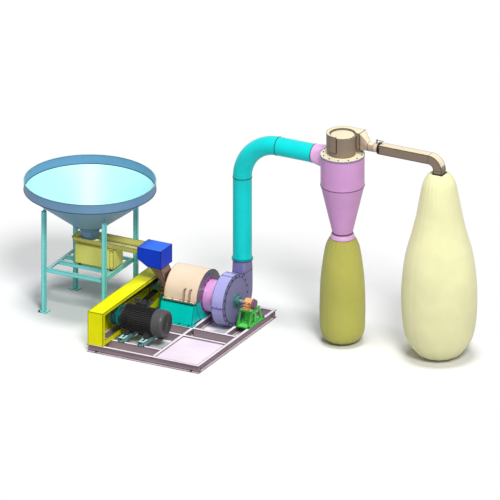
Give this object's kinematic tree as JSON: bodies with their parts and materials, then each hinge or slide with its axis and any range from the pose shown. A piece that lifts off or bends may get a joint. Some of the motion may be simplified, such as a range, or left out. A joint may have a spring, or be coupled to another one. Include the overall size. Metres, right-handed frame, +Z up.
{
  "type": "pulverizer mill",
  "caption": "Belt-driven pulverizer mill on a skid, fed by a hopper and shaking trough, with a suction fan, riser duct, cyclone, product bag and exhaust bag.",
  "frame": {"origin": "on the floor, straight under the mill shaft, on the underside of the middle skid beam", "axes": "+X along the mill shaft from the belt drive to the outboard bearing, +Y to the back of the skid, +Z up"},
  "size_m": [5.9418, 2.3838, 2.8],
  "materials": {
    "channel_paint": "satin paint",
    "deck_paint": "satin paint",
    "rail_paint": "satin paint",
    "motor_black": "matt paint on castings",
    "cowl_grey": "semi-gloss paint",
    "bright_steel": "machined",
    "pulley_teal": "painted casting",
    "pulley_green": "painted casting",
    "belt_rubber": "matt rubber",
    "guard_yellow": "gloss paint",
    "base_cyan": "satin paint",
    "cover_cream": "satin paint",
    "liner_steel": "cast and ground",
    "rotor_steel": "machined",
    "bearing_orange": "painted casting",
    "pedestal_green": "satin paint",
    "cap_purple": "painted casting",
    "neck_pink": "satin paint",
    "fan_lilac": "satin paint",
    "seal_teal": "painted casting",
    "bolt_dark": "blackened",
    "pipe_cyan": "gloss paint",
    "cyclone_pink": "satin paint",
    "lid_cream": "satin paint",
    "drum_brown": "satin paint",
    "duct_cream": "satin paint",
    "product_cloth": "woven filter cloth",
    "exhaust_cloth": "woven filter cloth",
    "hopper_blue": "satin paint",
    "stand_cyan": "satin paint",
    "feeder_yellow": "satin paint",
    "drive_olive": "satin paint",
    "mount_red": "moulded rubber",
    "chute_blue": "gloss paint",
    "chute_brown": "satin paint"
  },
  "bodies": {
    "frame": {"skid_rails": "channel_paint", "skid_beams": "channel_paint", "deck_plate": "deck_paint", "motor_rails": "rail_paint", "motor_frame": "motor_black", "motor_end_bell": "motor_black", "motor_cowl": "cowl_grey", "terminal_box": "motor_black", "v_belts": "belt_rubber", "belt_guard": "guard_yellow", "guard_brackets": "guard_yellow", "mill_base": "base_cyan", "lower_chamber": "base_cyan", "hinge_lugs": "base_cyan", "hinge_pin": "bright_steel", "lower_liner": "liner_steel", "inner_bearing": "bearing_orange", "inner_pedestal": "base_cyan", "outer_bearing": "bearing_orange", "outer_pedestal": "pedestal_green", "bearing_end_cap": "cap_purple", "inlet_neck": "neck_pink", "fan_housing": "fan_lilac", "fan_front_plate": "fan_lilac", "fan_plate_bolts": "bolt_dark", "shaft_seal": "seal_teal", "outlet_transition": "fan_lilac", "riser_pipe": "pipe_cyan", "pipe_elbow": "pipe_cyan", "cross_pipe": "pipe_cyan", "cyclone_inlet": "cyclone_pink", "cyclone_body": "cyclone_pink", "cyclone_lid": "lid_cream", "lid_bolts": "bolt_dark", "exhaust_drum": "drum_brown", "exhaust_transition": "duct_cream", "damper_ring": "duct_cream", "exhaust_duct": "duct_cream", "product_bag": "product_cloth", "exhaust_bag": "exhaust_cloth", "bag_clamps": "bolt_dark", "feed_hopper": "hopper_blue", "stand_legs": "stand_cyan", "stand_rails": "stand_cyan", "feeder_drive_box": "drive_olive", "rubber_mounts": "mount_red", "chute_box": "chute_blue", "inlet_chute": "chute_brown"},
    "rotor": {"main_shaft": "bright_steel", "rotor": "rotor_steel", "mill_pulley": "pulley_green", "fan_impeller": "rotor_steel"},
    "motor_rotor": {"motor_shaft": "bright_steel", "motor_pulley": "pulley_teal"},
    "cover": {"chamber_cover": "cover_cream", "cover_handles": "cover_cream", "cover_screws": "bright_steel", "upper_liner": "liner_steel"},
    "feeder": {"feeder_trough": "feeder_yellow"},
    "damper": {"damper_blade": "bolt_dark"}
  },
  "joints": [
    {"name": "rotor_spin", "type": "hinge", "parent": "frame", "child": "rotor", "pos_m": [0, 0, 0.36], "axis": [1, 0, 0], "continuous": true},
    {"name": "motor_spin", "type": "hinge", "parent": "frame", "child": "motor_rotor", "pos_m": [-0.5, -1.04, 0.335], "axis": [1, 0, 0], "continuous": true},
    {"name": "cover_swing", "type": "hinge", "parent": "frame", "child": "cover", "pos_m": [-0.25, 0.388, 0.386], "axis": [-1, 0, 0], "range_deg": [0, 100]},
    {"name": "feeder_shake", "type": "slide", "parent": "frame", "child": "feeder", "axis": [1, 0, 0], "range_m": [-0.003, 0.003], "stiffness_N_per_m": 20000},
    {"name": "damper_turn", "type": "hinge", "parent": "frame", "child": "damper", "pos_m": [2.188, 0.324, 2.657], "axis": [0, 0, 1], "range_deg": [0, 90]}
  ],
  "couplings": [
    {"joint": "motor_spin", "follows": "rotor_spin", "ratio": 0.57692}
  ]
}
